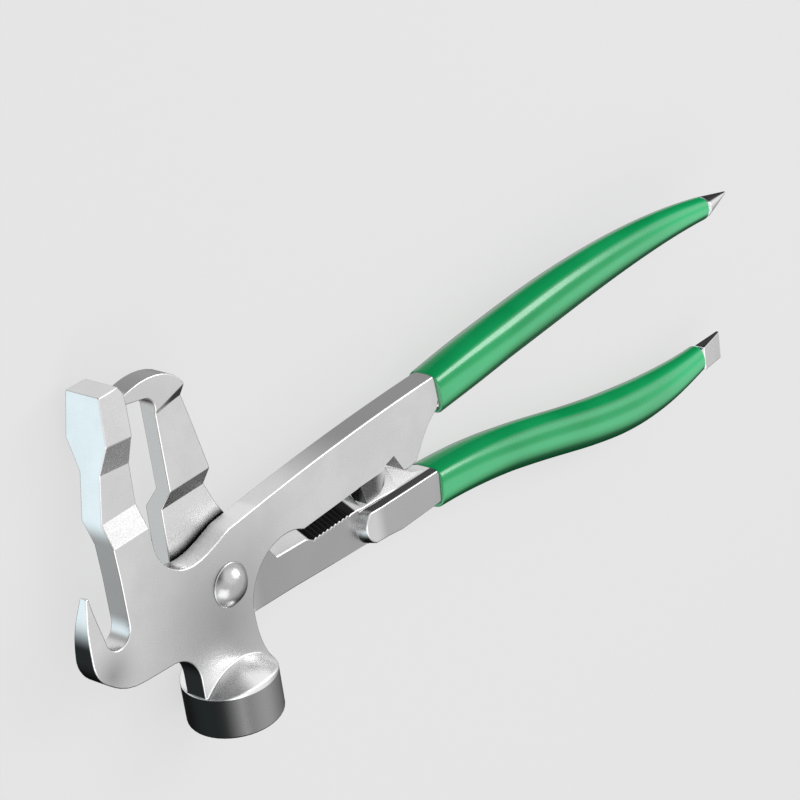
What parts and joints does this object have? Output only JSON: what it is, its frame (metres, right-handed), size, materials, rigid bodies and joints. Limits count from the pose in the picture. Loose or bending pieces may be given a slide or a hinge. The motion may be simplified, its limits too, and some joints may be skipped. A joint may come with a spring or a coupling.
{
  "type": "wheel weight pliers",
  "caption": "Forged pliers with a stepped gripping beak, curved claw, side hammer head and sleeved handles that end in a punch and a pry blade.",
  "frame": {"origin": "centre of the bounding box's base: the tool lies flat, with the lowest point of the hammer drum at z = 0", "axes": "+X from the claw to the handle ends, +Y from the hammer face to the jaw tips, +Z along the pivot towards the domed rivet head"},
  "size_m": [0.2562, 0.0988, 0.0232],
  "materials": {
    "forged_steel": "satin",
    "rivet_steel": "polished",
    "grip_vinyl": "glossy dip"
  },
  "bodies": {
    "hammer_body": {"hammer_half": "forged_steel", "pivot_rivet": "rivet_steel", "upper_grip": "grip_vinyl"},
    "jaw_body": {"jaw_half": "forged_steel", "lower_grip": "grip_vinyl"}
  },
  "joints": [
    {"name": "pivot", "type": "hinge", "parent": "hammer_body", "child": "jaw_body", "pos_m": [-0.0844, -0.01029, 0.0086], "axis": [0, 0, -1], "range_deg": [0, 24]}
  ]
}
